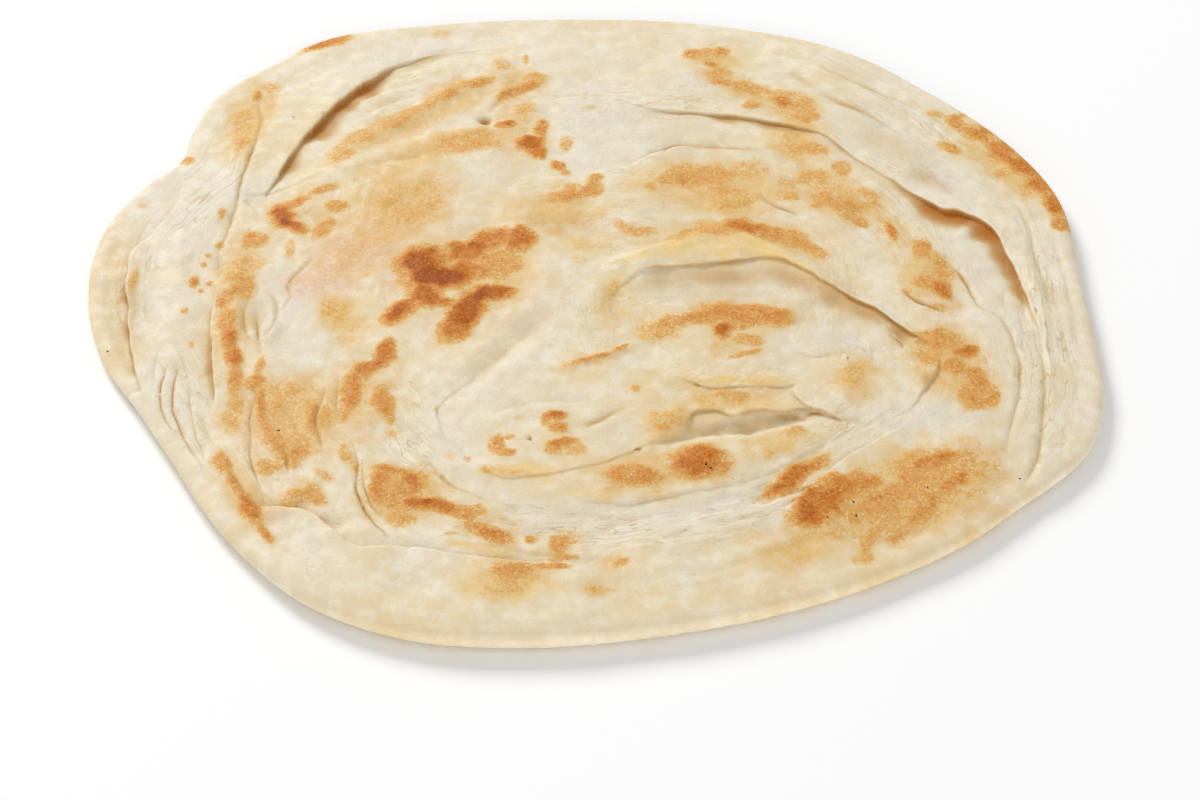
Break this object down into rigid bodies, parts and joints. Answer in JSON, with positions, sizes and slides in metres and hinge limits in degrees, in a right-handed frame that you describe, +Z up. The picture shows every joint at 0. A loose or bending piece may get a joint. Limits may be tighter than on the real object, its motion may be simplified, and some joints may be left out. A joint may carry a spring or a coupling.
{
  "type": "paratha flatbread",
  "caption": "Round flaky griddle flatbread, coiled from a pleated strip and rolled out, domed on top, with layer edges, pockets and browned spots, lying flat.",
  "frame": {"origin": "centre of the bread's box, on the surface it lies on", "axes": "+Z up through the bread, its short way; -Y towards the picture's viewer; +X to the viewer's right"},
  "size_m": [0.1834, 0.1768, 0.0084],
  "materials": {
    "crust": "baked dough: matt and mealy cream with slightly oily yellow patches and browned griddle spots"
  },
  "bodies": {
    "root": {"paratha": "crust"}
  },
  "joints": []
}
